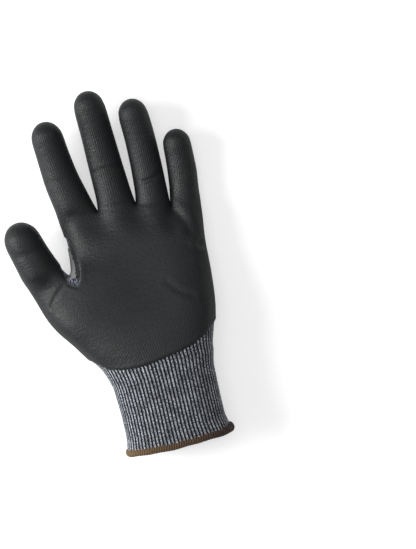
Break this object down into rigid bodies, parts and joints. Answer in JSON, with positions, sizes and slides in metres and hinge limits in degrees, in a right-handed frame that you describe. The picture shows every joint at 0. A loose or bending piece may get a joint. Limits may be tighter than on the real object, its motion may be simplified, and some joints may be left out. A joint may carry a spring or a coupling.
{
  "type": "cut resistant glove",
  "caption": "Knitted cut resistant work glove for the left hand, palm and finger faces dipped in foam, thumb crotch patch, ribbed cuff with overlocked hem, fingers that bend.",
  "frame": {"origin": "centre of the glove's footprint, on the surface it lies on", "axes": "+Y from the cuff to the fingertips, +Z out of the coated palm, +X to the little finger"},
  "size_m": [0.14, 0.2498, 0.0454],
  "materials": {
    "knit": "heather knit",
    "ribs": "ribbed heather knit",
    "foam": "matte foam",
    "patch": "soft matte",
    "elastic": "matte",
    "hem": "overlocked yarn"
  },
  "bodies": {
    "hand": {"upper_palm_knit": "knit", "lower_palm_knit": "knit", "palm_coating": "foam", "thumb_crotch_patch": "patch", "ribbed_cuff": "ribs", "cuff_elastic": "elastic", "cuff_hem": "hem"},
    "index_root_length": {"index_root_knit": "knit", "index_root_coating": "foam", "index_root_fold": "foam"},
    "index_middle_length": {"index_middle_knit": "knit", "index_middle_coating": "foam", "index_middle_fold": "foam"},
    "index_tip_length": {"index_tip_knit": "knit", "index_tip_coating": "foam", "index_tip_fold": "foam"},
    "middle_root_length": {"middle_root_knit": "knit", "middle_root_coating": "foam", "middle_root_fold": "foam"},
    "middle_middle_length": {"middle_middle_knit": "knit", "middle_middle_coating": "foam", "middle_middle_fold": "foam"},
    "middle_tip_length": {"middle_tip_knit": "knit", "middle_tip_coating": "foam", "middle_tip_fold": "foam"},
    "ring_root_length": {"ring_root_knit": "knit", "ring_root_coating": "foam", "ring_root_fold": "foam"},
    "ring_middle_length": {"ring_middle_knit": "knit", "ring_middle_coating": "foam", "ring_middle_fold": "foam"},
    "ring_tip_length": {"ring_tip_knit": "knit", "ring_tip_coating": "foam", "ring_tip_fold": "foam"},
    "little_root_length": {"little_root_knit": "knit", "little_root_coating": "foam", "little_root_fold": "foam"},
    "little_middle_length": {"little_middle_knit": "knit", "little_middle_coating": "foam", "little_middle_fold": "foam"},
    "little_tip_length": {"little_tip_knit": "knit", "little_tip_coating": "foam", "little_tip_fold": "foam"},
    "thumb_root_length": {"thumb_root_knit": "knit", "thumb_root_coating": "foam", "thumb_root_fold": "foam"},
    "thumb_tip_length": {"thumb_tip_knit": "knit", "thumb_tip_coating": "foam", "thumb_tip_fold": "foam"}
  },
  "joints": [
    {"name": "index_root_bend", "type": "hinge", "parent": "hand", "child": "index_root_length", "pos_m": [-0.01888, 0.05014, 0.0174], "axis": [1, 0, 0], "range_deg": [-15, 70], "stiffness_Nm_per_rad": 0.06, "deforming": ["index_root_fold"]},
    {"name": "index_middle_bend", "type": "hinge", "parent": "index_root_length", "child": "index_middle_length", "pos_m": [-0.02218, 0.06882, 0.01818], "axis": [1, 0, 0], "range_deg": [0, 85], "stiffness_Nm_per_rad": 0.04, "deforming": ["index_middle_fold"]},
    {"name": "index_tip_bend", "type": "hinge", "parent": "index_middle_length", "child": "index_tip_length", "pos_m": [-0.02398, 0.08852, 0.02089], "axis": [1, 0, 0], "range_deg": [0, 50], "stiffness_Nm_per_rad": 0.02, "deforming": ["index_tip_fold"]},
    {"name": "middle_root_bend", "type": "hinge", "parent": "hand", "child": "middle_root_length", "pos_m": [0.00962, 0.05014, 0.01673], "axis": [1, 0, 0], "range_deg": [-15, 70], "stiffness_Nm_per_rad": 0.06, "deforming": ["middle_root_fold"]},
    {"name": "middle_middle_bend", "type": "hinge", "parent": "middle_root_length", "child": "middle_middle_length", "pos_m": [0.00902, 0.07134, 0.01766], "axis": [1, 0, 0], "range_deg": [0, 77], "stiffness_Nm_per_rad": 0.04, "deforming": ["middle_middle_fold"]},
    {"name": "middle_tip_bend", "type": "hinge", "parent": "middle_middle_length", "child": "middle_tip_length", "pos_m": [0.00872, 0.09602, 0.02129], "axis": [1, 0, 0], "range_deg": [0, 45.29], "stiffness_Nm_per_rad": 0.02, "deforming": ["middle_tip_fold"]},
    {"name": "ring_root_bend", "type": "hinge", "parent": "hand", "child": "ring_root_length", "pos_m": [0.03502, 0.04766, 0.0147], "axis": [1, 0, 0], "range_deg": [-15, 66], "stiffness_Nm_per_rad": 0.06, "deforming": ["ring_root_fold"]},
    {"name": "ring_middle_bend", "type": "hinge", "parent": "ring_root_length", "child": "ring_middle_length", "pos_m": [0.03592, 0.06538, 0.01553], "axis": [1, 0, 0], "range_deg": [0, 74], "stiffness_Nm_per_rad": 0.04, "deforming": ["ring_middle_fold"]},
    {"name": "ring_tip_bend", "type": "hinge", "parent": "ring_middle_length", "child": "ring_tip_length", "pos_m": [0.03642, 0.08606, 0.01877], "axis": [1, 0, 0], "range_deg": [0, 43.53], "stiffness_Nm_per_rad": 0.02, "deforming": ["ring_tip_fold"]},
    {"name": "little_root_bend", "type": "hinge", "parent": "hand", "child": "little_root_length", "pos_m": [0.05742, 0.04267, 0.01322], "axis": [1, 0, 0], "range_deg": [-15, 64], "stiffness_Nm_per_rad": 0.06, "deforming": ["little_root_fold"]},
    {"name": "little_middle_bend", "type": "hinge", "parent": "little_root_length", "child": "little_middle_length", "pos_m": [0.05932, 0.05591, 0.01395], "axis": [1, 0, 0], "range_deg": [0, 72], "stiffness_Nm_per_rad": 0.04, "deforming": ["little_middle_fold"]},
    {"name": "little_tip_bend", "type": "hinge", "parent": "little_middle_length", "child": "little_tip_length", "pos_m": [0.06002, 0.06761, 0.01577], "axis": [1, 0, 0], "range_deg": [0, 42.35], "stiffness_Nm_per_rad": 0.02, "deforming": ["little_tip_fold"]},
    {"name": "thumb_root_bend", "type": "hinge", "parent": "hand", "child": "thumb_root_length", "pos_m": [-0.04971, 0.00957, 0.02389], "axis": [0.959, 0.2697, -0.0872], "range_deg": [-15, 40], "stiffness_Nm_per_rad": 0.06, "deforming": ["thumb_root_fold"]},
    {"name": "thumb_tip_bend", "type": "hinge", "parent": "thumb_root_length", "child": "thumb_tip_length", "pos_m": [-0.05468, 0.0268, 0.02594], "axis": [0.959, 0.2697, -0.0872], "range_deg": [0, 65], "stiffness_Nm_per_rad": 0.02, "deforming": ["thumb_tip_fold"]}
  ],
  "couplings": [
    {"joint": "index_tip_bend", "follows": "index_middle_bend", "ratio": 0.58823},
    {"joint": "middle_tip_bend", "follows": "middle_middle_bend", "ratio": 0.58823},
    {"joint": "ring_tip_bend", "follows": "ring_middle_bend", "ratio": 0.58823},
    {"joint": "little_tip_bend", "follows": "little_middle_bend", "ratio": 0.58823}
  ]
}
